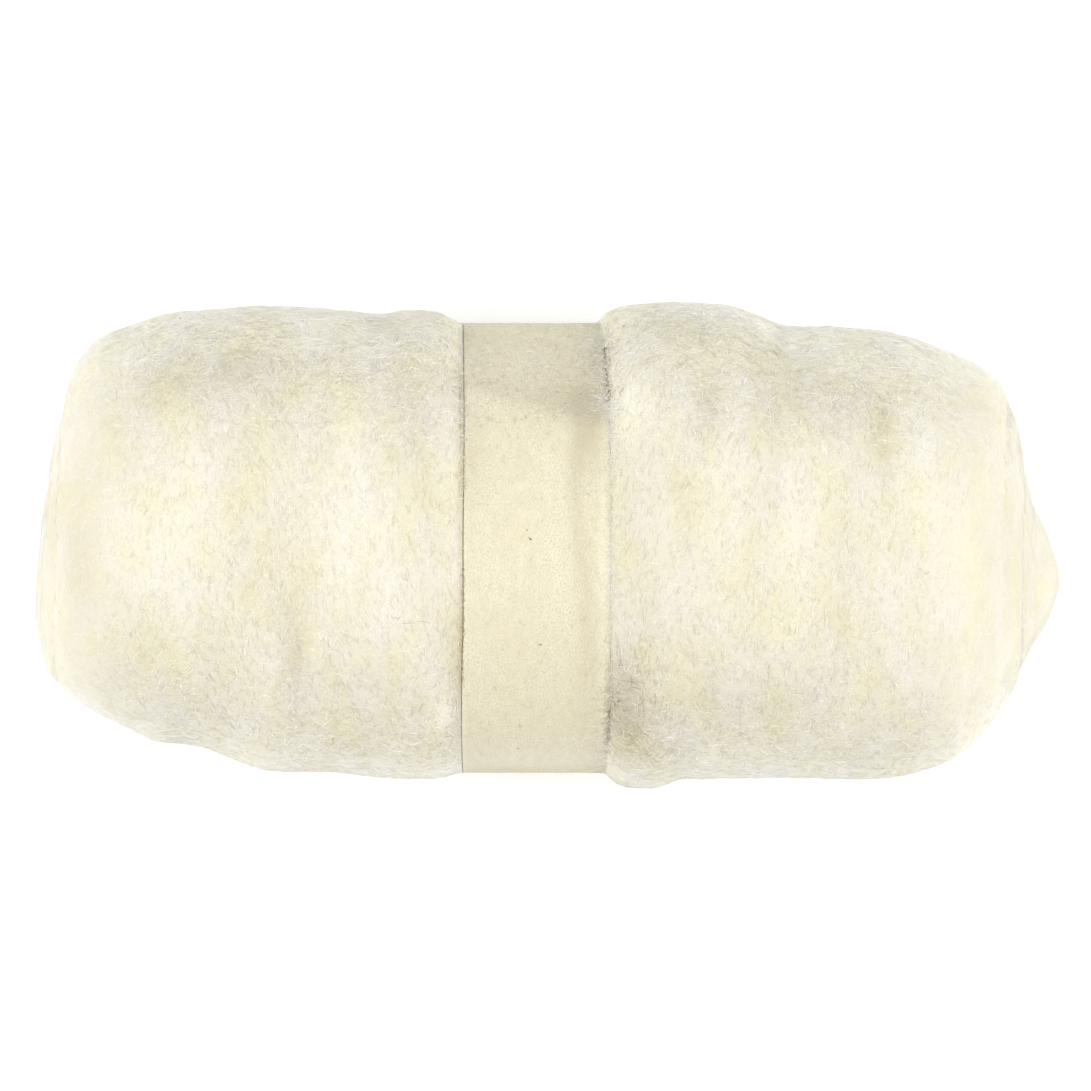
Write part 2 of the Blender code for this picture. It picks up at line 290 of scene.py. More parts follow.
# Fibres: each set's number, points to a fibre, lengths, heights over the skin, share that lie any way,
# bend at each point, roll, tone and its spread, and width.
FIBRE_COLUMNS = ("name", "count", "points", "shortest", "longest", "lowest", "rise", "stray", "bend")
FIBRE_COLUMNS += ("roll", "tone", "tone_spread", "width")
FIBRE_SETS = (
    ("fibres_deep", 42000, 3, 1.4, 3, 0, 0.1, 0.4, 5, 7, -0.07, 0.16, 0.22),
    ("fibres_combed", 32500, 4, 2, 5, 0.04, 0.14, 0.18, 3, 7, 0, 0.18, 0.17),
    ("fibres_haze", 32000, 4, 1.8, 4.8, 0.06, 0.18, 0.58, 3, 12, 0.06, 0.2, 0.115),
    ("fibres_fuzz", 14000, 4, 2.4, 6, 0.12, 0.35, 0.85, 4, 18, 0.09, 0.21, 0.09),
)
# How much of its spread a fibre keeps on the dark side, and on the light side.
DARKER_SHARE = 0.7
LIGHTER_SHARE = 0.85
SKIN_SHADE_TONE = -0.2  # painted shade between the fibres: the skin's tone beneath them, where they stand out as usual
GAP_SHADE_TONE = -0.65  # painted shade: how much darker the wool is under the band, which shows in the gaps at its edges
# Loose fibres over the wool and the band: between which x, about which angle, how far round, how many,
# their heading and how far it strays, their tone beside the wool's, and the longest.
LOOSE_COLUMNS = ("low_x", "high_x", "angle", "reach", "count", "heading", "stray", "tone", "longest")
LOOSE_FIBRES = (
    (-112, -22, 38, 26, 6400, 82, 42, 0.09, 9),
    (20, 112, 36, 26, 6000, 98, 42, 0.08, 9),
    (12.4, 18.8, 34, 20, 2400, 90, 60, 0.25, 3.8),
    (11, 17.5, 14, 16, 300, 90, 55, 0, 3.4),
    # the next two rows: dark fibres laid as painted shade in the gap under the right lip
    (15.5, 16.7, 36, 13, 160, 90, 60, -1.2, 1.3),
    (15.7, 16.5, 142, 8, 140, 10, 30, -1.1, 1.2),
    (14.4, 17.4, 92, 42, 1300, 90, 45, 0.05, 3),
    (15.9, 16.6, 92, 40, 800, 0, 28, 0.1, 2.6),
    (13.4, 17.2, 155, 26, 700, 90, 55, 0, 3.4),
    (17, 30, 140, 22, 900, 90, 60, 0.15, 3.6),
    (13.4, 17.2, 270, 80, 250, 90, 60, 0, 3.4),
    (-20.8, -19.2, 104, 1.2, 16, 90, 14, 0.1, 3.4),
    (-21.6, -19.6, 125, 35, 90, 90, 40, 0, 3.4),
    # the next two rows: brown fibres laid as painted shade beside the band's left edge
    (-20.1, -19.6, 110, 16, 130, 0, 10, -0.9, 1.6),
    (-20.9, -19.8, 58, 19, 240, 0, 25, -0.6, 1.8),
    (-21.8, -19.3, 54, 22, 200, 90, 45, 0.25, 3),
    (-21.6, -19.4, 270, 80, 100, 90, 50, 0, 3.4),
    (-19, 14, 28, 30, 1700, 90, 70, -0.38, 3),
    (-19, 14, 34, 22, 1300, 70, 70, -0.06, 2.6),
    (-19, 14, 115, 60, 800, 0, 50, -0.24, 3),
)
LOOSE_FIBRE = ("loose_fibres", 0, 4, 0.9, 0, 0.03, 0.14, 0, 5, 12, 0, 0.17, 0.09)
COVER_FROM = 8.0  # where the cover's rings begin to crowd towards the right lip
FIBRE_SEED = 11
CRIMP_SHARES = (0.3, 1.0)  # of the crimp that a fibre has
RISE_POWER = 1.5  # most fibres rise little
TAPER_POWER = 0.6  # how bluntly a fibre tapers
END_MARGIN = 0.5  # of the fibres from the first and the last ring, in rings
READ_LIMIT = 1.001  # the skin is read up to so many rings short of their number
WIDTH_SPREAD = 0.3
TONE_GRAIN = 0.11  # how much a fibre's tone varies from point to point
FIBRE_TIP = 0.35  # a tip's width as a share of the fibre's
FIBRE_TUCK = 0.12  # how far the ends lie below the fibre's lowest
FIBRE_MAP_HALF_WIDTH = 0.0012  # of the unrolled map
UNDER_BAND = 0.3  # the highest that a fibre goes beneath the band
CRIMP_ANGLE = 7.0
CRIMP_LENGTH = 5.0
COMBED_SPREAD = (10.0, 36.0)  # how far combed fibres stray from running round the roll: on top, and low
STRAY_SPREAD = (90.0, 34.0)  # how far the others stray from running along it
MORE_STRAYS = 0.4  # the share of combed fibres that join them low on the sides
COMBED_TOP = (15.0, 62.0)  # degrees from the top over which this changes
FLOW_LAYER = (14.0, 22.0, 12.0)  # the combed direction wanders too: along, around, and degrees
LEAST_HEIGHT = 0.08  # no fibre goes lower above the floor
LEAST_SPACING = (0.3, 0.12)  # of the rings and of the steps round them, where fibres are laid
# Dark hairs and specks of chaff: where each starts, its heading, and how much it turns along its length.
BIT_COLUMNS = ("x", "angle", "length", "width", "heading", "bend")
DARK_BITS = (
    (-4.9, 85.8, 0.4, 0.2, 45, 0),
    (-4.3, 87.7, 0.8, 0.3, 42, 0),
    (-2.1, 114.1, 0.8, 0.3, 92, 0),
    (-7.1, 151, 0.5, 0.3, 70, 0),
    (17.8, 131, 0.5, 0.3, 40, 0),
    (78.1, 160.8, 0.8, 0.24, 60, 0),
    (-36.2, 106.4, 2.4, 0.035, 62, 30),
    (-34, 108.3, 3.6, 0.05, 94, -8),
    (-30.2, 108, 3.3, 0.04, 96, -34),
    (-26.9, 109.4, 2.8, 0.04, 58, -20),
    (-24.9, 112, 1.8, 0.045, 86, 70),
    (99, 30.2, 2.1, 0.05, 60, 65),
    (18.4, 124.8, 4.6, 0.06, 96, -24),
    (20, 126.4, 2.4, 0.05, 105, -40),
    (21.3, 124, 2.2, 0.05, 50, 60),
    (86.6, 94, 1.8, 0.04, 80, 60),
)
# Dark specks laid as painted shade in the gap under the right lip: their number, and each column's range up
# to the heading.
GAP_SHADE_SPECKS = 52
GAP_SHADE_RANGES = ((15.3, 17.0), (24.0, 48.0), (0.25, 0.6), (0.15, 0.3), (0.0, 180.0))
BIT_POINTS = 8
BIT_HEIGHT = 0.14


def smooth_step(low, high, value):
    """0 up to low and 1 from high on, with a smooth rise between."""
    share = np.clip((np.asarray(value, float) - low) / (high - low), 0.0, 1.0)
    return share * share * (3.0 - 2.0 * share)


def signed_power(value, power):
    return np.sign(value) * np.abs(value) ** power


def turn_between(angle, other):
    """The shortest turn from the other angle to this one."""
    return (angle - other + 180.0) % 360.0 - 180.0


def unit(vectors):
    """The grid's vectors at unit length."""
    return vectors / np.maximum(np.linalg.norm(vectors, axis=2, keepdims=True), TINY)


def linear(red, green, blue):
    """A linear colour with alpha, from screen values of 0 to 255."""
    shares = np.array([red, green, blue]) / 255.0
    low = shares / 12.92
    high = ((shares + 0.055) / 1.055) ** 2.4
    return (*np.where(shares <= 0.04045, low, high).tolist(), 1.0)


# ---- Rings and the skin -----------------------------------------------------
def curve_through(rows, places):
    """Smooth columns through the rows, read at these shares of the profile's length, and that length."""
    table = np.array(rows)
    steps = np.diff(table, axis=0)
    lengths = np.concatenate([[0.0], np.cumsum(np.hypot(steps[:, 0], (steps[:, 1] - steps[:, 2]) / 2.0))])
    slopes = np.empty_like(table)
    slopes[1:-1] = (table[2:] - table[:-2]) / (lengths[2:] - lengths[:-2])[:, None]
    slopes[0] = (table[1] - table[0]) / (lengths[1] - lengths[0])
    slopes[-1] = (table[-1] - table[-2]) / (lengths[-1] - lengths[-2])
    places = np.asarray(places) * lengths[-1]
    i = np.clip(np.searchsorted(lengths, places, side="right") - 1, 0, len(lengths) - 2)
    step = (lengths[i + 1] - lengths[i])[:, None]
    t = (places - lengths[i])[:, None] / step
    value = table[i] * (1.0 + 2.0 * t) * (1.0 - t) ** 2
    value += slopes[i] * t * (1.0 - t) ** 2 * step
    value += table[i + 1] * t * t * (3.0 - 2.0 * t)
    value += slopes[i + 1] * t * t * (t - 1.0) * step
    return value, lengths[-1]


def lobe_rings(rows):
    """Evenly spaced rings from an end's middle to the lip beside the band."""
    length = curve_through(rows, [0.0])[1]
    places = np.linspace(0.0, 1.0, round(length / RING_STEP) + 1)
    return curve_through(rows, np.append(places[:-1], (1.0 - RIM / length, 1.0)))[0]


def column(rings, name):
    """One of the rings' columns, as a row for each ring."""
    k = RING_COLUMNS.index(name)
    return rings[:, k : k + 1]


def waist_ring(x, inset):
    return [x, BAND_BACK - inset, BAND_FRONT + inset, BAND_TOP - inset, BAND_FOOT + inset, 0.0]


def waist_grid(rings, angles):
    """The waist's sections, drawn flat across the dip high on the back."""
    y, z = section_grid(rings, angles)
    across = np.clip((column(rings, "x") - BAND_LEFT) / BAND_WIDTH, 0.0, 1.0)
    low = np.full_like(across, FLAT_START)
    high = FLAT_ENDS[0] + (FLAT_ENDS[1] - FLAT_ENDS[0]) * across
    low_y, low_z = section_grid(rings, low)
    high_y, high_z = section_grid(rings, high)
    around = turn_between(angles, 0.0)[None, :]
    weight = FLATNESS * smooth_step(low - FLAT_SOFTNESS, low + FLAT_SOFTNESS, around)
    weight *= 1.0 - smooth_step(high - FLAT_SOFTNESS, high + FLAT_SOFTNESS, around)
    share = (around - low) / (high - low)
    y = y + weight * (low_y + share * (high_y - low_y) - y)
    z = z + weight * (low_z + share * (high_z - low_z) - z)
    return y, z


def all_rings():
    """The whole roll's rings, from the left end to the right, and how deep each lies under the band."""
    left = lobe_rings(LEFT_LOBE)
    right = lobe_rings(RIGHT_LOBE)[::-1]
    under = [waist_ring(BAND_LEFT - out, inset) for out, inset in LEFT_CURL]
    inner_width = BAND_WIDTH - 2.0 * UNDER_MARGIN
    inner = round(inner_width / RING_STEP)
    for i in range(inner):
        under.append(waist_ring(BAND_LEFT + UNDER_MARGIN + inner_width * i / (inner - 1), WOOL_INSET))
    under += [waist_ring(BAND_RIGHT + out, inset) for out, inset in RIGHT_CURL[::-1]]
    depth = np.maximum(BAND_BACK - np.array(under)[:, 1], 0.0)
    depth = np.concatenate([np.full(len(left), -1.0), depth, np.full(len(right), -1.0)])
    return np.vstack([left, under, right]), depth


def angles_around():
    return SEAM_ANGLE + 360.0 * np.arange(POINTS_AROUND) / POINTS_AROUND


def section_grid(rings, angles):
    """y and z of the rounded sections, a row for each ring, before the floor flattens them."""
    turn = np.radians(np.atleast_2d(angles))
    back, front, top, foot = (column(rings, name) for name in RING_COLUMNS[1:5])
    y = (back + front) / 2.0 + (back - front) / 2.0 * signed_power(np.cos(turn), 2.0 / ROUNDNESS)
    z = (top + foot) / 2.0 + (top - foot) / 2.0 * signed_power(np.sin(turn), 2.0 / ROUNDNESS)
    return y, z


def soft_floor(z, floor):
    """z kept above the floor with a gentle bend."""
    above = z - floor
    return floor + (above + np.sqrt(above * above + FLOOR_SOFTNESS * FLOOR_SOFTNESS)) / 2.0


def uneven(shape, along, around, seed):
    """Smooth unevenness of unit height over the skin, closed round the roll."""
    rng = np.random.default_rng(seed)
    grains = np.fft.rfft2(rng.standard_normal(shape))
    step_around = 2.0 * math.pi * FULL_HALF_WIDTH / POINTS_AROUND
    by_ring = np.fft.fftfreq(shape[0])[:, None] * along / RING_STEP
    by_angle = np.fft.rfftfreq(shape[1])[None, :] * around / step_around
    grains *= np.exp(-2.0 * (math.pi * LUMP_BLUR) ** 2 * (by_ring**2 + by_angle**2))
    grains[0, 0] = 0.0
    made = np.fft.irfft2(grains, s=shape)
    return made / made.std()


def lap_grid(rings, angles):
    """The soft step of the outer turn's loose edge."""
    waver = LAP_WAVER * np.sin(2.0 * math.pi * column(rings, "x") / LAP_WAVE_LENGTH)
    past_lap = (angles[None, :] - LAP_ANGLE - waver) % 360.0
    lap = 1.0 - smooth_step(0.0, LAP_SPREAD, past_lap)
    return LAP_HEIGHT * lap * smooth_step(0.0, LAP_SOFTNESS, past_lap)


def groove_grid(distance, angles, spiral):
    """How deep the spiral groove of an end is, at these distances from the end's middle."""
    turns = distance / TURN_PITCH - (angles[None, :] - spiral["start"]) / 360.0
    from_line = (turns - np.round(turns)) * TURN_PITCH
    fade = 1.0 - smooth_step(*GROOVE_FADE_OUT, distance)
    fade *= smooth_step(spiral["core"], spiral["core"] + GROOVE_WIDTH, distance)
    upper = smooth_step(*GROOVE_TURN, np.abs(turn_between(angles, UNDERSIDE)))
    fade *= 1.0 - (1.0 - UPPER_GROOVE) * upper[None, :]
    return GROOVE_DEPTH * fade * np.exp(-((2.0 * from_line / GROOVE_WIDTH) ** 2))


def normals_of(points):
    """Outward normals of the grid of points, and its spacing along and around."""
    along = np.gradient(points, axis=0)
    around = (np.roll(points, -1, axis=1) - np.roll(points, 1, axis=1)) / 2.0
    normal = unit(np.cross(around, along))
    return normal, np.linalg.norm(along, axis=2), np.linalg.norm(around, axis=2)


def spots_round(table, angles, least=0.0):
    """The sum of a table's soft spots round the roll."""
    total = np.full(len(angles), least)
    for row in table:
        spot = dict(zip(SPOT_COLUMNS, row))
        total += spot["amount"] * np.exp(-((turn_between(angles, spot["angle"]) / spot["reach"]) ** 2))
    return total


def lean_grid(across, angles):
    """How far the band's left edge and the wool beside it lie further in, with a row for each place."""
    fade = np.exp(-(((across - BAND_LEFT) / LEAN_FADE) ** 2))
    return fade[:, None] * spots_round(LEANS, angles)[None, :]


def overhang_grid(rings, angles):
    """How far each point of the right lobe leans over the band's edge."""
    from_lip = column(rings, "x") - BAND_RIGHT - LIP_OFFSET
    fade = np.where(from_lip < -RIM / 2.0, 0.0, 1.0 - smooth_step(0.0, OVERHANG_FADE, from_lip))
    return fade * spots_round(OVERHANGS, angles, LEAST_OVERHANG)[None, :]


def band_face(across, angles, inset):
    """The band's sections at these places across it: y, z and the way out, in the plane of y and z."""
    rings = np.array([waist_ring(x, inset) for x in across])
    y, z = waist_grid(rings, angles)
    y_on, z_on = waist_grid(rings, angles + SLOPE_STEP)
    return y, z, unit(np.stack([z_on - z, y - y_on], axis=2))


def draw_in(rings, y, z, angles, waist):
    """y and z with the wool beside the band drawn in, so that its lips meet the band's outer face."""
    gentle = np.maximum(np.sin(np.radians(angles)), 0.0)[None, :] ** 2
    inside = np.flatnonzero(waist)
    sides = (
        (BAND_LEFT, inside[0] - 1, LIP_RISES[0]),
        (BAND_RIGHT, inside[-1] + 1, LIP_RISES[1] + spots_round(LIP_LIFTS, angles)),
    )
    for edge, lip, rise in sides:
        face_y, face_z, out = (grid[0] for grid in band_face([edge], angles, 0.0))
        above = (y - face_y) * out[:, 0] + (z - face_z) * out[:, 1] - rise
        away = np.abs(column(rings, "x") - rings[lip, 0])
        inward = (1.0 - gentle) * np.exp(-away / SHOULDER_WIDTHS[0]) * above[lip]
        inward += gentle * np.exp(-((away / SHOULDER_WIDTHS[1]) ** 2)) * above
        inward[waist] = 0.0
        y = y - inward * out[:, 0]
        z = z - inward * out[:, 1]
    return y, z


def patches_over(table, x, angles):
    """The sum of a table's soft patches, with a row for each x."""
    total = np.zeros((len(x), len(angles)))
    for row in table:
        patch = dict(zip(PATCH_COLUMNS, row))
        along = (x - patch["x"]) / patch["reach_x"]
        around = turn_between(angles, patch["angle"])[None, :] / patch["reach_angle"]
        total += patch["amount"] * np.exp(-(along**2) - around**2)
    return total


def make_skin():
    """The wool's skin as a grid of points, in rings from the left end to the right."""
    rings, depth = all_rings()
    ring_x = column(rings, "x")
    angles = angles_around()
    y, z = section_grid(rings, angles)
    middle_y = (column(rings, "back") + column(rings, "front")) / 2.0
    middle_z = (column(rings, "top") + column(rings, "foot")) / 2.0
    distance = np.hypot(y - middle_y, z - middle_z)
    waist = depth >= 0.0
    y[waist], z[waist] = waist_grid(rings[waist], angles)
    y, z = draw_in(rings, y, z, angles, waist)
    x = ring_x + column(rings, "lean") * (y - middle_y) - overhang_grid(rings, angles)
    x += lean_grid(rings[:, 0], angles)
    for side, row in ((-1.0, LEFT_SPIRAL), (1.0, RIGHT_SPIRAL)):
        spiral = dict(zip(SPIRAL_COLUMNS, row))
        groove = groove_grid(distance, angles, spiral)
        x = x + np.where(side * ring_x > 0.0, spiral["inward"] * groove, 0.0)
    points = np.stack([x, y, z], axis=2)
    normals, _, _ = normals_of(points)
    from_band = np.maximum(BAND_LEFT - ring_x, ring_x - BAND_RIGHT)
    calm = smooth_step(LIP_OFFSET, LIP_OFFSET + SWELL_CALM, from_band)
    half_width = (column(rings, "back") - column(rings, "front")) / 2.0
    size = np.minimum(1.0, half_width / FULL_HALF_WIDTH) ** 2
    lap = lap_grid(rings, angles) * smooth_step(*LAP_FADE, half_width)
    height = (patches_over(SWELLS, ring_x, angles) + lap) * calm * size
    near = smooth_step(*FINE_CALM, from_band)
    for k, row in enumerate(SKIN_LAYERS):
        layer = dict(zip(LAYER_COLUMNS, row))
        lumps = uneven(height.shape, layer["along"], layer["around"], SKIN_SEED + k)
        height += layer["height"] * lumps * near * size
    points = points + normals * height[:, :, None]
    points[:, :, 2] = soft_floor(points[:, :, 2], np.maximum(depth, 0.0)[:, None])
    return Skin(rings, points, depth, tone_grid(rings, angles), relief_grid(rings, angles))


def relief_grid(rings, angles):
    """How much the fibres stand out over the skin."""
    low = smooth_step(*COMBED_TOP, np.abs(turn_between(angles, TOP)))
    relief = PLAIN_RELIEF + GRAZED_RELIEF * low[None, :]
    relief = relief + patches_over(RELIEF_MARKS, column(rings, "x"), angles)
    calm = smooth_step(*END_CALM, np.abs(column(rings, "x") - END_CALM_MIDDLE))
    return relief * (1.0 - (1.0 - END_RELIEF) * calm)


def tone_grid(rings, angles):
    """The wool's tone over the skin, with the marks' painted light and shade."""
    tone = PLAIN_TONE + patches_over(TONE_LIGHT_AND_SHADE_MARKS, column(rings, "x"), angles)
    for k, row in enumerate(TONE_LAYERS):
        layer = dict(zip(LAYER_COLUMNS, row))
        tone += layer["height"] * uneven(tone.shape, layer["along"], layer["around"], TONE_SEED + k)
    return tone


# ---- Meshes -----------------------------------------------------------------
def mesh_piece(name, points, faces, uv, tone, material, flat=0):
    """One smooth object from points in millimetres, its faces as a row of corners each, every corner's place
    in the unrolled map, and every point's tone. The last faces may be flat."""
    mesh = bpy.data.meshes.new(name)
    sizes = np.count_nonzero(faces >= 0, axis=1)
    corners = faces[faces >= 0]
    mesh.vertices.add(len(points))
    mesh.vertices.foreach_set("co", (points * METRES).astype(np.float32).ravel())
    mesh.loops.add(len(corners))
    mesh.loops.foreach_set("vertex_index", corners.astype(np.int32))
    mesh.polygons.add(len(faces))
    mesh.polygons.foreach_set("loop_start", (np.cumsum(sizes) - sizes).astype(np.int32))
    mesh.polygons.foreach_set("loop_total", sizes.astype(np.int32))
    mesh.polygons.foreach_set("use_smooth", np.arange(len(faces)) < len(faces) - flat)
    layer = mesh.uv_layers.new(name="OFBake")
    layer.data.foreach_set("uv", uv.astype(np.float32).ravel())
    shade = mesh.attributes.new("tone", "FLOAT", "POINT")
    shade.data.foreach_set("value", tone.astype(np.float32).ravel())
    mesh.update(calc_edges=True)
    mesh.validate()
    mesh.materials.append(material)
    piece = bpy.data.objects.new(name, mesh)
    bpy.context.scene.collection.objects.link(piece)
    return piece


def grid_quads(rows, columns):
    """The corners of each step of a grid of points, as their numbers in it."""
    index = np.arange(rows * columns).reshape(rows, columns)
    corners = (index[:-1, :-1], index[:-1, 1:], index[1:, 1:], index[1:, :-1])
    return np.stack(corners, axis=2).reshape(-1, 4)


def make_wool_skin(skin, material):
    """The closed mesh of the skin, a quad for each step of the grid and a fan at each end."""
    rings, around = skin.points.shape[:2]
    # A grid with each ring's first point again at its end, for the quads and their places in the map.
    quads = grid_quads(rings, around + 1)
    ring, step = quads // (around + 1), quads % (around + 1)
    faces = [ring * around + step % around]
    places = [np.stack([ring / (rings - 1), step / around], axis=2).reshape(-1, 2)]
    here = np.arange(around)
    for ring, pole in ((0, rings * around), (rings - 1, rings * around + 1)):
        steps = [here, here + 1] if ring else [here + 1, here]
        corners = [ring * around + step % around for step in steps]
        faces.append(np.stack([np.full(around, pole), *corners, np.full(around, -1)], axis=1))
        v = np.stack([here, *steps], axis=1).ravel() / around
        places.append(np.stack([np.full(len(v), float(ring > 0)), v], axis=1))
    # Painted shade: darker under the band and, as the relief grows, under the fibres.
    painted_shade = np.where(skin.depth[:, None] > 0.0, GAP_SHADE_TONE, SKIN_SHADE_TONE * (1.0 + skin.relief) / 2.0)
    tone = skin.tone + painted_shade
    tone = np.append(tone.ravel(), (tone[0].mean(), tone[-1].mean()))
    points = np.vstack([skin.points.reshape(-1, 3), skin.points[[0, -1]].mean(axis=1)])
    return mesh_piece("wool_skin", points, np.vstack(faces), np.vstack(places), tone, material)


# ---- Fibres -----------------------------------------------------------------
class Skin:
    """The skin's points, normals, tone and relief, read anywhere between the rings and round the roll."""

    def __init__(self, rings, points, depth, tone, relief):
        self.rings = rings
        self.points = points
        self.depth = depth
        self.tone = tone
        self.relief = relief
        self.normals, self.along, self.around = normals_of(points)
        self.count, self.steps = points.shape[:2]

    def read(self, grid, ring, step):
        """The grid's values between its rings and steps."""
        ring = np.clip(ring, 0.0, self.count - READ_LIMIT)
        i = ring.astype(int)
        j = np.floor(step).astype(int)
        u, v = ring - i, step - j
        here, after = j % self.steps, (j + 1) % self.steps
        if grid.ndim == 3:
            u, v = u[..., None], v[..., None]
        low = grid[i, here] * (1.0 - v) + grid[i, after] * v
        high = grid[i + 1, here] * (1.0 - v) + grid[i + 1, after] * v
        return low * (1.0 - u) + high * u


def fibre_roots(skin, count, rng):
    """Random places on the open skin, even by area."""
    area = (skin.along * skin.around).sum(axis=1)
    area[skin.depth >= 0.0] = 0.0
    edges = np.concatenate([[0.0], np.cumsum(area)])
    ring = np.interp(rng.random(count) * edges[-1], edges, np.arange(len(edges))) - 0.5
    return np.clip(ring, 0.0, skin.count - 1.0), rng.random(count) * skin.steps


def fibre_headings(skin, fibres, flow, ring, step, rng):
    """Each fibre's first direction in degrees, where 0 runs round the roll and 90 along it."""
    from_top = np.abs(turn_between(SEAM_ANGLE + 360.0 * step / skin.steps, TOP))
    low = smooth_step(*COMBED_TOP, from_top)
    spread = COMBED_SPREAD[0] + (COMBED_SPREAD[1] - COMBED_SPREAD[0]) * low
    combed = spread * rng.standard_normal(len(ring)) + skin.read(flow, ring, step)
    spread = STRAY_SPREAD[0] + (STRAY_SPREAD[1] - STRAY_SPREAD[0]) * low
    along = 90.0 + spread * rng.standard_normal(len(ring))
    strays = rng.random(len(ring)) < fibres["stray"] + (1.0 - fibres["stray"]) * MORE_STRAYS * low
    return np.where(strays, along, combed) + 180.0 * rng.integers(0, 2, len(ring))


def place_at(skin, x, angle):
    """The ring and step of a place on the skin."""
    ring = np.interp(x, skin.rings[:, 0], np.arange(skin.count))
    return ring, (angle - SEAM_ANGLE) % 360.0 * skin.steps / 360.0


def loose_starts(skin, rng):
    """The starts, headings, tones and greatest lengths of the loose fibres."""
    starts = []
    for row in LOOSE_FIBRES:
        loose = dict(zip(LOOSE_COLUMNS, row))
        count = loose["count"]
        x = rng.uniform(loose["low_x"], loose["high_x"], count)
        angle = loose["angle"] + loose["reach"] * rng.uniform(-1.0, 1.0, count)
        heading = loose["heading"] + loose["stray"] * rng.standard_normal(count)
        heading += 180.0 * rng.integers(0, 2, count)
        same = np.ones(count)
        starts.append((*place_at(skin, x, angle), heading, loose["tone"] * same, loose["longest"] * same))
    return (np.concatenate(column) for column in zip(*starts))


def fibre_paths(skin, fibres, ring, step, heading, rng):
    """Each fibre's places on the skin and its heights above it, a row for each fibre."""
    count, last = len(ring), fibres["points"] - 1
    stride = rng.uniform(fibres["shortest"], fibres["longest"], count) / last
    bend = rng.normal(0.0, fibres["bend"], count)
    crimp = rng.uniform(*CRIMP_SHARES, count) * CRIMP_ANGLE
    phase = rng.uniform(0.0, 2.0 * math.pi, count)
    rings_at, steps_at = [ring], [step]
    for k in range(last):
        wave = np.sin(2.0 * math.pi * k * stride / CRIMP_LENGTH + phase)
        turn = np.radians(heading + bend * (k - last / 2.0) + crimp * wave)
        spacing = np.maximum(skin.read(skin.along, ring, step), LEAST_SPACING[0])
        around = np.maximum(skin.read(skin.around, ring, step), LEAST_SPACING[1])
        ring = ring + stride * np.sin(turn) / spacing
        ring = np.clip(ring, END_MARGIN, skin.count - 1.0 - END_MARGIN)
        step = step + stride * np.cos(turn) / around
        rings_at.append(ring)
        steps_at.append(step)
    arch = np.sin(math.pi * np.linspace(0.0, 1.0, last + 1))[None, :]
    height = fibres["lowest"] * rng.random((count, 1)) - FIBRE_TUCK * (1.0 - arch)
    height = height + fibres["rise"] * rng.random((count, 1)) ** RISE_POWER * arch
    return np.stack(rings_at, axis=1), np.stack(steps_at, axis=1), height


def make_fibres(row, skin, flow, seed, material):
    """A set of fibres over the open skin."""
    fibres = dict(zip(FIBRE_COLUMNS, row))
    rng = np.random.default_rng(seed)
    ring, step = fibre_roots(skin, fibres["count"], rng)
    heading = fibre_headings(skin, fibres, flow, ring, step, rng)
    return make_ribbons(skin, fibres, fibre_paths(skin, fibres, ring, step, heading, rng), rng, material)


def make_loose_fibres(cover, seed, material):
    """Loose fibres that lie over the wool and the band, and across its edges."""
    fibres = dict(zip(FIBRE_COLUMNS, LOOSE_FIBRE))
    rng = np.random.default_rng(seed)
    ring, step, heading, tone, fibres["longest"] = loose_starts(cover, rng)
    fibres["tone"] = tone[:, None]
    return make_ribbons(cover, fibres, fibre_paths(cover, fibres, ring, step, heading, rng), rng, material)


def make_dark_bits(cover, material):
    """A few dark hairs and specks of chaff, on the wool and the band, and dark specks of painted shade in the
    gap under the right lip.
    """
    rng = np.random.default_rng(FIBRE_SEED)
    drawn = [rng.uniform(*limits, GAP_SHADE_SPECKS) for limits in GAP_SHADE_RANGES]
    shade_specks = np.stack([*drawn, np.zeros(GAP_SHADE_SPECKS)], axis=1)
    bits = dict(zip(BIT_COLUMNS, np.vstack([DARK_BITS, shade_specks]).T))
    ring, step = place_at(cover, bits["x"], bits["angle"])
    stride = bits["length"] / (BIT_POINTS - 1)
    rings_at, steps_at = [ring], [step]
    for k in range(BIT_POINTS - 1):
        turn = np.radians(bits["heading"] + bits["bend"] * k / (BIT_POINTS - 2))
        spacing = np.maximum(cover.read(cover.along, ring, step), LEAST_SPACING[0])
        ring = ring + stride * np.sin(turn) / spacing
        around = np.maximum(cover.read(cover.around, ring, step), LEAST_SPACING[1])
        step = step + stride * np.cos(turn) / around
        rings_at.append(ring)
        steps_at.append(step)
    height = np.full((len(ring), BIT_POINTS), BIT_HEIGHT)
    fibres = {"name": "dark_bits", "roll": 0.0, "tone": 0.0, "tone_spread": 0.0}
    fibres["width"] = bits["width"][:, None]
    paths = (np.stack(rings_at, axis=1), np.stack(steps_at, axis=1), height)
    return make_ribbons(cover, fibres, paths, rng, material)


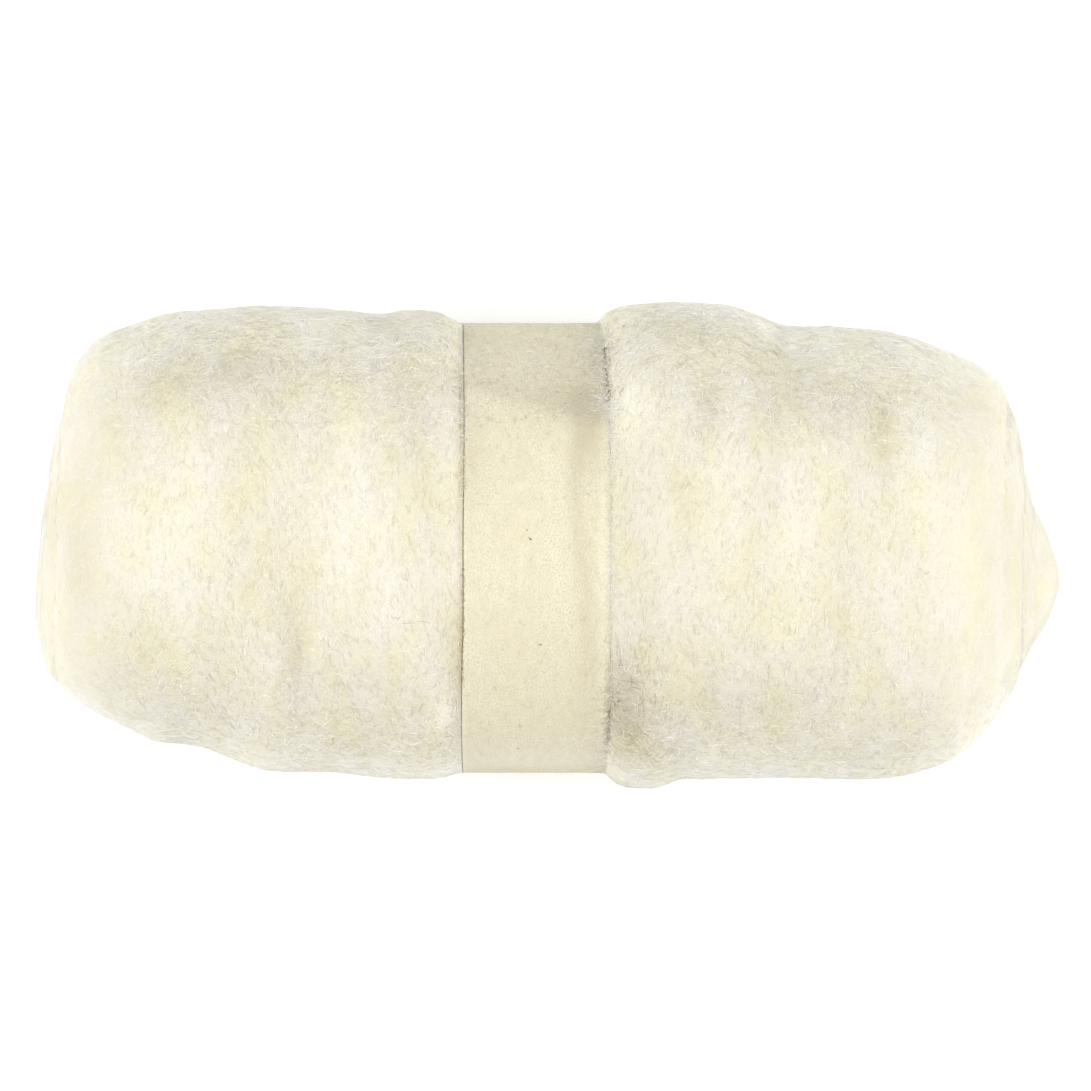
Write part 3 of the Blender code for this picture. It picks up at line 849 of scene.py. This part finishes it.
def make_ribbons(skin, fibres, paths, rng, material):
    """Thin tapered ribbons along the paths, all in one mesh."""
    ring, step, height = paths
    count, length = ring.shape
    under = skin.depth[np.round(ring).astype(int)] >= 0.0
    normal = unit(skin.read(skin.normals, ring, step))
    relief = skin.read(skin.relief, ring[:, :1], step[:, :1])
    height = np.where(under, np.minimum(height, UNDER_BAND), height * relief)
    centre = skin.read(skin.points, ring, step) + normal * height[:, :, None]
    side = unit(np.cross(normal, np.gradient(centre, axis=1)))
    roll = np.radians(rng.normal(0.0, fibres["roll"], (count, 1))) * relief
    side = side * np.cos(roll)[:, :, None] + normal * np.sin(roll)[:, :, None]
    taper = FIBRE_TIP + (1.0 - FIBRE_TIP) * np.sin(math.pi * np.linspace(0.0, 1.0, length)) ** TAPER_POWER
    width = fibres["width"] * rng.uniform(1.0 - WIDTH_SPREAD, 1.0 + WIDTH_SPREAD, (count, 1)) * taper[None, :]
    edge = side * (width / 2.0)[:, :, None]
    points = np.stack([centre - edge, centre + edge], axis=2)
    points[..., 2] = np.maximum(points[..., 2], LEAST_HEIGHT)
    index = np.arange(count * length * 2).reshape(count, length, 2)
    faces = np.stack([index[:, :-1, 0], index[:, :-1, 1], index[:, 1:, 1], index[:, 1:, 0]], axis=2)
    spread = rng.standard_normal((count, 1))
    share = np.where(spread < 0.0, DARKER_SHARE * relief, LIGHTER_SHARE * (1.0 + relief) / 2.0)
    tone = fibres["tone"] + fibres["tone_spread"] * spread * share
    tone = tone + TONE_GRAIN * rng.standard_normal((count, length)) * relief
    tone = tone + skin.read(skin.tone, ring[:, :1], step[:, :1])
    tones = np.broadcast_to(tone[:, :, None], (count, length, 2))
    uv = ribbon_map(ring / (skin.count - 1), step / skin.steps)
    return mesh_piece(fibres["name"], points.reshape(-1, 3), faces.reshape(-1, 4), uv, tones, material)


def ribbon_map(u, v):
    """Each ribbon's place in the unrolled map, as a row for each corner of its faces."""
    v = v - np.floor(v.mean(axis=1, keepdims=True))
    along = np.stack([np.gradient(u, axis=1), np.gradient(v, axis=1)], axis=2)
    across = np.stack([-along[..., 1], along[..., 0]], axis=2)
    across *= FIBRE_MAP_HALF_WIDTH / np.maximum(np.linalg.norm(across, axis=2, keepdims=True), TINY)
    middle = np.stack([u, v], axis=2)
    low = np.clip(middle - across, 0.0, 1.0)
    high = np.clip(middle + across, 0.0, 1.0)
    return np.stack([low[:, :-1], high[:, :-1], high[:, 1:], low[:, 1:]], axis=2).reshape(-1, 2)


# ---- The band ---------------------------------------------------------------
BAND_LENGTH = 336.0  # the strip's cut length, with its glued lap
BAND_LAP_START = 312.0  # the lap's angle, low on the back
BAND_STEPS_ACROSS = 28
BAND_STEPS_ALONG = 300
GIRTH_STEPS = 1440  # round the waist, for its length
LAP_EASE = 12.0  # the length over which the strip climbs onto its own start
# A soft crease wanders round the top, near the right edge: its place, half its width, and its share, which
# sets both how deep it dents the paper and how much brown painted shade lies in it.
CREASE_COLUMNS = ("angle", "x", "reach", "share")
CREASE = (
    (38, 9.4, 3.8, 0),
    (46, 9.2, 3.8, 0.7),
    (53, 9, 3.6, 1),
    (60, 8.2, 2.8, 0.95),
    (68, 6.9, 2.2, 0.8),
    (76, 6.3, 2, 0.7),
    (84, 6.9, 2, 0.55),
    (92, 7.9, 2.1, 0.6),
    (104, 8.7, 2.1, 0.55),
    (114, 9.8, 2.3, 0.5),
    (123, 9.6, 2.6, 0.4),
    (145, 8.5, 3, 0.1),
    (158, 8.5, 3, 0),
)
CREASE_DEPTH = 0.3
# The strip's faces in the unrolled map: margin, length, width, and how far on the inner face lies.
STRIP_MARGIN = 0.01
STRIP_LENGTH = 0.98
STRIP_WIDTH = 0.11
STRIP_INNER = (0.0, 0.13)
# The paper's tone runs from -1, brown painted shade, through 0, plain, to 1, pale painted highlight. Its
# edges carry painted highlights.
# Painted highlights along the band's edges: where the right one starts, its share, and the left one's.
RIGHT_HIGHLIGHT_FROM = (11.2, 12.6)
RIGHT_EDGE_HIGHLIGHT = 0.25
LEFT_EDGE_HIGHLIGHT = (0.1, 0.9)  # on the back, and on the front
LEFT_HIGHLIGHT_TURN = (92.0, 132.0)  # the angles between which it grows
LEFT_HIGHLIGHT_REACH = 0.45
# Painted shade on the band: beside its left edge, along the crease and over the flat span high on the back,
# and softly over its front; and a painted highlight low on the front.
PAPER_SHADE_AND_HIGHLIGHT_MARKS = (
    (-18.6, 68, 4.4, 14, -0.56),
    (4, 52, 9, 8, -0.42),
    (10.8, 65, 3, 13, -0.42),
    (0, 46, 24, 8, -0.24),
    (-2, 120, 22, 16, -0.14),
    (0, 160, 40, 9, 0.42),
)


def crease_grid(across, angles):
    """How deep the crease is, from 0 to 1, with a row for each angle."""
    table = dict(zip(CREASE_COLUMNS, np.array(CREASE).T))
    read = (np.interp(angles % 360.0, table["angle"], table[name]) for name in CREASE_COLUMNS[1:])
    x, reach, share = (values[:, None] for values in read)
    return share * np.exp(-(((across[None, :] - x) / reach) ** 2))


def band_points(across, angles, inset, dip):
    """One face of the strip: rows along it and columns across. dip is how far each row sinks."""
    y, z, out = (np.swapaxes(grid, 0, 1) for grid in band_face(across, angles, inset))
    sink = CREASE_DEPTH * crease_grid(across, angles) + dip[:, None]
    y = y - out[:, :, 0] * sink
    z = z - out[:, :, 1] * sink
    x = across[None, :] + lean_grid(across, angles).T
    return np.stack([x, y, np.maximum(z, inset)], axis=2)


def make_cover(skin):
    """The skin with the band's outer face at the waist, for what lies over both."""
    kept = (skin.depth < 0.0) | (skin.depth > WOOL_INSET - PAPER)
    rings, points = skin.rings[kept], skin.points[kept]
    waist = skin.depth[kept] >= 0.0
    angles = angles_around()
    outer = band_points(rings[waist, 0], angles, 0.0, np.zeros(len(angles))).transpose(1, 0, 2)
    lip = np.flatnonzero(waist)[-1] + 1
    crowd = (points[lip, :, 0] - COVER_FROM) / (rings[lip, 0] - COVER_FROM)
    outer[:, :, 0] += (crowd - 1.0)[None, :] * np.maximum(rings[waist, 0:1] - COVER_FROM, 0.0)
    points[waist] = outer
    return Skin(rings, points, np.full(len(rings), -1.0), skin.tone[kept], skin.relief[kept])


def make_band(material):
    """The paper strip, once round the roll and over its own start."""
    fine = np.linspace(0.0, 360.0, GIRTH_STEPS + 1)
    level = np.zeros(len(fine))
    middle = band_points(np.zeros(1), fine + BAND_LAP_START, PAPER / 2.0, level)[:, 0]
    girth = np.concatenate([[0.0], np.cumsum(np.linalg.norm(np.diff(middle, axis=0), axis=1))])
    run = np.linspace(0.0, BAND_LENGTH, BAND_STEPS_ALONG + 1)
    angles = BAND_LAP_START + np.interp(run % girth[-1], girth, fine)
    lap = BAND_LENGTH - girth[-1]
    dip = PAPER * (1.0 - smooth_step(lap, lap + LAP_EASE, run))
    across = np.linspace(BAND_LEFT, BAND_RIGHT, BAND_STEPS_ACROSS + 1)
    across = np.insert(across, 1, BAND_LEFT + LEFT_HIGHLIGHT_REACH)
    outer, inner = (band_points(across, angles, inset, dip) for inset in (0.0, PAPER))
    # Painted highlights along both edges, then the marks' painted shade and highlight, less the crease's
    # painted shade.
    left = np.interp(angles % 360.0, LEFT_HIGHLIGHT_TURN, LEFT_EDGE_HIGHLIGHT)[:, None]
    pale = left * np.exp(-(across - BAND_LEFT) / LEFT_HIGHLIGHT_REACH)
    pale = pale + RIGHT_EDGE_HIGHLIGHT * smooth_step(*RIGHT_HIGHLIGHT_FROM, across)
    pale += patches_over(PAPER_SHADE_AND_HIGHLIGHT_MARKS, across[:, None], angles % 360.0).T
    return strip_mesh("paper_band", outer, inner, pale - crease_grid(across, angles), material)


def strip_mesh(name, outer, inner, tone, material):
    """A closed sheet from its two faces, each a grid of points."""
    rows, columns = outer.shape[:2]
    offset = rows * columns
    index = np.arange(offset).reshape(rows, columns)
    top = grid_quads(rows, columns)
    bottom = top[:, ::-1] + offset
    rim = np.concatenate([index[0], index[1:, -1], index[-1, :-1][::-1], index[1:-1, 0][::-1]])
    after = np.roll(rim, -1)
    sides = np.stack([rim, rim + offset, after + offset, after], axis=1)
    faces = np.concatenate([top, bottom, sides])
    u = np.repeat(np.linspace(0.0, 1.0, rows), columns)
    v = np.tile((outer[0, :, 0] - outer[0, 0, 0]) / (outer[0, -1, 0] - outer[0, 0, 0]), rows)
    place = np.stack([u * STRIP_LENGTH + STRIP_MARGIN, v * STRIP_WIDTH + STRIP_MARGIN], axis=1)
    places = np.concatenate([place, place + np.array(STRIP_INNER)])
    points = np.concatenate([outer.reshape(-1, 3), inner.reshape(-1, 3)])
    tones = np.tile(tone.ravel(), 2)
    return mesh_piece(name, points, faces, places[faces.ravel()], tones, material, flat=len(sides))


# ---- Materials --------------------------------------------------------------
MAP_TOP = 0.5  # the roll's top in the unrolled map, opposite the seam
SPECULAR = 0.25
SHEEN_ROUGHNESS = 0.5
NOISE_ROUGHNESS = 0.55
NOISE_MIDDLE = 0.5
WOOL_SURFACE = (0.85, 0.45)  # roughness and sheen
PAPER_SURFACE = (0.8, 0.0)
# Noise: how many lumps lie along and across the map, their detail and roughness.
STREAKS = ((900.0, 330.0), 3.0, 0.7)
CROSSED = ((1000.0, 400.0), 3.0, 0.7)
PATCHES = ((34.0, 16.0), 5.0, 0.62)
FLECK = ((560.0, 900.0), 3.0, 0.75)
BLOTCHES = ((30.0, 30.0), 4.0)
SMUDGES = ((90.0, 160.0), 4.0, 0.6)
CROSSED_TURNS = (58.0, -66.0)  # the degrees that the crossing streaks turn from round the roll
# The crossing streaks leave small dark gaps: the highest that they rise, their gain and their middle.
CROSSED_CEILING = 0.57
CROSSED_GAIN = 2.7
CROSSED_MIDDLE = 0.52
# The ends are smoother: the middle of the map, how far from it the grain grows calm, and by how much.
CALM_MIDDLE = 0.47
CALM_FROM = (0.31, 0.35)
CALM = 0.65
# How much the grain moves the tone, and the strength and depth in millimetres of the bumps.
WOOL_GRAIN = 0.7
WOOL_BUMPS = (0.4, 0.3)
SMUDGE_GRAIN = 1.0
PAPER_BUMPS = (0.5, 0.06)
# The halves of the tone, once tone_of has made it run from 0 to 1.
DARK_TONES = (0.0, 0.5)
LIGHT_TONES = (0.5, 1.0)
# The noise's values where each mixture starts and ends, and how full it gets.
PATCH_LIMITS = (0.36, 0.64)
FLECK_LIMITS = (0.34, 0.66)
BLOTCH_LIMITS = (0.38, 0.66)
BLOTCH_SHARE = 0.6
SMUDGE_AND_SHADE_SHARE = 0.5
GREY_WOOL = (linear(203, 197, 180), linear(229, 224, 210), linear(249, 247, 241))
WARM_WOOL = (linear(200, 193, 160), linear(227, 222, 194), linear(246, 242, 223))
BROWN_GAP_SHADE = linear(150, 126, 88)
SAND = (linear(197, 189, 161), linear(217, 211, 185), linear(231, 226, 203))
BLOTCH = linear(213, 205, 175)
PALE_SMUDGE_AND_HIGHLIGHT = linear(241, 234, 213)
SMUDGE_AND_SHADE_PAPER = linear(178, 165, 138)
CHAFF_AND_GAP_SHADE = linear(122, 105, 80)


def new_material(name, roughness, sheen):
    material = bpy.data.materials.new(name)
    material.use_nodes = True
    shader = material.node_tree.nodes["Principled BSDF"]
    shader.inputs["Roughness"].default_value = roughness
    shader.inputs["Specular IOR Level"].default_value = SPECULAR
    shader.inputs["Sheen Weight"].default_value = sheen
    shader.inputs["Sheen Roughness"].default_value = SHEEN_ROUGHNESS
    return material, shader


def grey(share):
    return (share, share, share, 1.0)


def fill(tree, socket, value):
    """Set the socket to a number or a colour, or link it to another socket."""
    if isinstance(value, (float, tuple)):
        socket.default_value = value
    else:
        tree.links.new(value, socket)


def add_math(tree, operation, *values):
    node = tree.nodes.new("ShaderNodeMath")
    node.operation = operation
    for socket, value in zip(node.inputs, values):
        fill(tree, socket, value)
    return node.outputs[0]


def add_map(tree):
    place = tree.nodes.new("ShaderNodeUVMap")
    place.uv_map = "OFBake"
    return place.outputs["UV"]


def add_noise(tree, lumps, detail, roughness=NOISE_ROUGHNESS, turn=0.0):
    """Noise over the unrolled map, with so many lumps each way once it is turned by these degrees."""
    mapping = tree.nodes.new("ShaderNodeMapping")
    mapping.vector_type = "TEXTURE"
    mapping.inputs["Rotation"].default_value[2] = math.radians(turn)
    mapping.inputs["Scale"].default_value = (1.0 / lumps[0], 1.0 / lumps[1], 1.0)
    noise = tree.nodes.new("ShaderNodeTexNoise")
    noise.inputs["Scale"].default_value = 1.0
    noise.inputs["Detail"].default_value = detail
    noise.inputs["Roughness"].default_value = roughness
    tree.links.new(add_map(tree), mapping.inputs["Vector"])
    tree.links.new(mapping.outputs["Vector"], noise.inputs["Vector"])
    return noise.outputs


def add_ramp(tree, source, limits, colours):
    """Even steps between the colours as the source goes from the low limit to the high one."""
    ramp = tree.nodes.new("ShaderNodeValToRGB")
    low, high = limits
    for k, end in enumerate((low, high)):
        ramp.color_ramp.elements[k].position = end
        ramp.color_ramp.elements[k].color = colours[-k]
    for k, colour in enumerate(colours[1:-1], 1):
        element = ramp.color_ramp.elements.new(low + (high - low) * k / (len(colours) - 1))
        element.color = colour
    tree.links.new(source, ramp.inputs["Fac"])
    return ramp.outputs["Color"]


def add_share(tree, source, limits, start=0.0, end=1.0):
    """A share that goes from start to end as the source goes from the low limit to the high one."""
    return add_ramp(tree, source, limits, [grey(start), grey(end)])


def tone_of(tree, grain, strength):
    """The tone with a little of the grain's noise, where -1 becomes 0 and 1 stays 1."""
    node = tree.nodes.new("ShaderNodeAttribute")
    node.attribute_name = "tone"
    centred = add_math(tree, "MULTIPLY_ADD", node.outputs["Fac"], 1.0, -NOISE_MIDDLE * strength)
    grained = add_math(tree, "MULTIPLY_ADD", grain, strength, centred)
    return add_math(tree, "MULTIPLY_ADD", grained, 0.5, 0.5)


def add_blend(tree, share, one, other):
    """The colour between one and other, by share. Each may be a colour or a socket."""
    mix = tree.nodes.new("ShaderNodeMix")
    mix.data_type = "RGBA"
    colours = [socket for socket in mix.inputs if socket.type == "RGBA"]
    tree.links.new(share, mix.inputs["Factor"])
    for socket, colour in zip(colours, (one, other)):
        fill(tree, socket, colour)
    return next(socket for socket in mix.outputs if socket.type == "RGBA")


def add_bumps(tree, shader, source, strength, depth):
    bumps = tree.nodes.new("ShaderNodeBump")
    bumps.inputs["Strength"].default_value = strength
    bumps.inputs["Distance"].default_value = depth * METRES
    tree.links.new(source, bumps.inputs["Height"])
    tree.links.new(bumps.outputs["Normal"], shader.inputs["Normal"])


def add_grain(tree):
    """Fine streaks that run round the roll on its top, cross each other low on its sides, and fade out
    towards its ends."""
    streaks = add_noise(tree, *STREAKS)["Color"]
    one, other = (add_noise(tree, *CROSSED, turn)["Fac"] for turn in CROSSED_TURNS)
    capped = add_math(tree, "MINIMUM", add_math(tree, "MAXIMUM", one, other), CROSSED_CEILING)
    crossing = add_math(tree, "MULTIPLY_ADD", capped, CROSSED_GAIN, CROSSED_MIDDLE * (1.0 - CROSSED_GAIN))
    parts = tree.nodes.new("ShaderNodeSeparateXYZ")
    tree.links.new(add_map(tree), parts.inputs["Vector"])
    from_top = add_math(tree, "ABSOLUTE", add_math(tree, "SUBTRACT", parts.outputs["Y"], MAP_TOP))
    from_middle = add_math(tree, "ABSOLUTE", add_math(tree, "SUBTRACT", parts.outputs["X"], CALM_MIDDLE))
    low = add_share(tree, from_top, [angle / 360.0 for angle in COMBED_TOP])
    calm = add_share(tree, from_middle, CALM_FROM, end=CALM)
    return add_blend(tree, calm, add_blend(tree, low, streaks, crossing), grey(NOISE_MIDDLE))


def wool_material(name, bumpy):
    """Wool from its tone, with greyer and yellower patches, a fine grain, and brown painted shade where the
    tone is below 0.
    """
    material, shader = new_material(name, *WOOL_SURFACE)
    tree = material.node_tree
    grain = add_grain(tree)
    tone = tone_of(tree, grain, WOOL_GRAIN)
    cool, warm = (add_ramp(tree, tone, LIGHT_TONES, colours) for colours in (GREY_WOOL, WARM_WOOL))
    patches = add_share(tree, add_noise(tree, *PATCHES)["Fac"], PATCH_LIMITS)
    brown_shade = add_share(tree, tone, DARK_TONES, 1.0, 0.0)
    colour = add_blend(tree, brown_shade, add_blend(tree, patches, cool, warm), BROWN_GAP_SHADE)
    tree.links.new(colour, shader.inputs["Base Color"])
    if bumpy:
        add_bumps(tree, shader, grain, *WOOL_BUMPS)
    return material


def paper_material():
    """Uncoated cream paper with a fine sandy fleck and soft smudges, with brown painted shade where its tone
    is low and a pale painted highlight where high.
    """
    material, shader = new_material("cream_paper", *PAPER_SURFACE)
    tree = material.node_tree
    fleck = add_noise(tree, *FLECK)["Fac"]
    sand = add_ramp(tree, fleck, FLECK_LIMITS, SAND)
    blotches = add_noise(tree, *BLOTCHES)["Fac"]
    blotched = add_share(tree, blotches, BLOTCH_LIMITS, end=BLOTCH_SHARE)
    tone = tone_of(tree, add_noise(tree, *SMUDGES)["Fac"], SMUDGE_GRAIN)
    pale = add_share(tree, tone, LIGHT_TONES)
    smudge_and_shade = add_share(tree, tone, DARK_TONES, SMUDGE_AND_SHADE_SHARE, 0.0)
    colour = add_blend(tree, pale, add_blend(tree, blotched, sand, BLOTCH), PALE_SMUDGE_AND_HIGHLIGHT)
    tree.links.new(add_blend(tree, smudge_and_shade, colour, SMUDGE_AND_SHADE_PAPER), shader.inputs["Base Color"])
    add_bumps(tree, shader, fleck, *PAPER_BUMPS)
    return material


def dark_material():
    material, shader = new_material("dark_chaff_and_gap_shade", *PAPER_SURFACE)
    shader.inputs["Base Color"].default_value = CHAFF_AND_GAP_SHADE
    return material


# ---- The studio -------------------------------------------------------------
PHOTO_SIDE = 1091.0
PHOTO_SCALE = 240.0 / 1019.0  # millimetres to a pixel of the photo
PHOTO_ORIGIN = (547.6, 545.0)  # the pixel over the frame's origin
CAMERA_HEIGHT = 2500.0
SIGHT_HEIGHT = 48.0  # where the roll's outline lies
SENSOR = 36.0
CLIP_END = 50.0  # metres
# The lights, in metres and watts. They all look at the roll's middle.
LIGHT_TARGET = (0.0, 0.0, 0.05)
LIGHT_COLUMNS = ("name", "place", "size", "power", "colour")
LIGHTS = (
    ("softbox_left", (-1.3, 0.0, 1.1), (1.0, 1.4), 23.0, (1.0, 0.985, 0.95)),
    ("softbox_right", (1.3, 0.0, 1.1), (1.0, 1.4), 23.0, (1.0, 0.985, 0.95)),
    ("softbox_back", (0.0, 1.6, 0.9), (1.6, 0.8), 1.2, (0.75, 0.94, 1.25)),
)
SKY = (0.93, 0.95, 1.03, 1.0)
SKY_STRENGTH = 0.48
FLOOR_REACH = 4.0  # metres from the origin to each side
FLOOR_ROUGHNESS = 0.9
FLOOR_COLOUR = (0.97, 0.97, 0.97, 1.0)
FLOOR_GLOW = 0.1


def make_camera():
    """A camera high above the roll, which frames it as the photo does."""
    width = PHOTO_SIDE * PHOTO_SCALE
    data = bpy.data.cameras.new("camera")
    data.sensor_width = SENSOR
    data.lens = SENSOR * (CAMERA_HEIGHT - SIGHT_HEIGHT) / width
    data.clip_end = CLIP_END
    camera = bpy.data.objects.new("camera", data)
    x = (PHOTO_SIDE / 2.0 - PHOTO_ORIGIN[0]) * PHOTO_SCALE
    y = (PHOTO_ORIGIN[1] - PHOTO_SIDE / 2.0) * PHOTO_SCALE
    camera.location = Vector((x, y, CAMERA_HEIGHT)) * METRES
    bpy.context.scene.collection.objects.link(camera)
    bpy.context.scene.camera = camera


def add_softbox(row):
    box = dict(zip(LIGHT_COLUMNS, row))
    data = bpy.data.lights.new(box["name"], "AREA")
    data.shape = "RECTANGLE"
    data.size, data.size_y = box["size"]
    data.energy = box["power"]
    data.color = box["colour"]
    light = bpy.data.objects.new(box["name"], data)
    light.location = box["place"]
    light.rotation_mode = "QUATERNION"
    sight = Vector(LIGHT_TARGET) - Vector(box["place"])
    light.rotation_quaternion = sight.to_track_quat("-Z", "Y")
    bpy.context.scene.collection.objects.link(light)


def make_studio():
    scene = bpy.context.scene
    scene.view_settings.view_transform = "Standard"
    scene.world = bpy.data.worlds.new("studio")
    scene.world.use_nodes = True
    sky = scene.world.node_tree.nodes["Background"]
    sky.inputs["Color"].default_value = SKY
    sky.inputs["Strength"].default_value = SKY_STRENGTH
    for row in LIGHTS:
        add_softbox(row)
    mesh = bpy.data.meshes.new("floor")
    corners = [(FLOOR_REACH * x, FLOOR_REACH * y, 0.0) for x, y in ((-1, -1), (1, -1), (1, 1), (-1, 1))]
    mesh.from_pydata(corners, [], [(0, 1, 2, 3)])
    material, shader = new_material("pale_floor", FLOOR_ROUGHNESS, 0.0)
    shader.inputs["Base Color"].default_value = FLOOR_COLOUR
    shader.inputs["Emission Color"].default_value = grey(1.0)
    shader.inputs["Emission Strength"].default_value = FLOOR_GLOW
    mesh.materials.append(material)
    floor = bpy.data.objects.new("floor", mesh)
    scene.collection.objects.link(floor)


# ---- Everything together ----------------------------------------------------
def main():
    make_camera()
    make_studio()
    skin = make_skin()
    skin_piece = make_wool_skin(skin, wool_material("wool_base", True))
    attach(skin_piece, "root")
    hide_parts("wool_roll")
    along, around, angle = FLOW_LAYER
    flow = angle * uneven(skin.tone.shape, along, around, FLOW_SEED)
    fibre_material = wool_material("wool_fibre", False)
    seeds = range(FIBRE_SEED, FIBRE_SEED + len(FIBRE_SETS))
    pieces = [make_fibres(row, skin, flow, seed, fibre_material) for row, seed in zip(FIBRE_SETS, seeds)]
    cover = make_cover(skin)
    pieces.append(make_loose_fibres(cover, FIBRE_SEED + len(FIBRE_SETS), fibre_material))
    pieces.append(make_dark_bits(cover, dark_material()))
    for piece in pieces:
        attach(piece, "root")
    band = make_band(paper_material())
    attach(band, "root")
    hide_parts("band")


main()
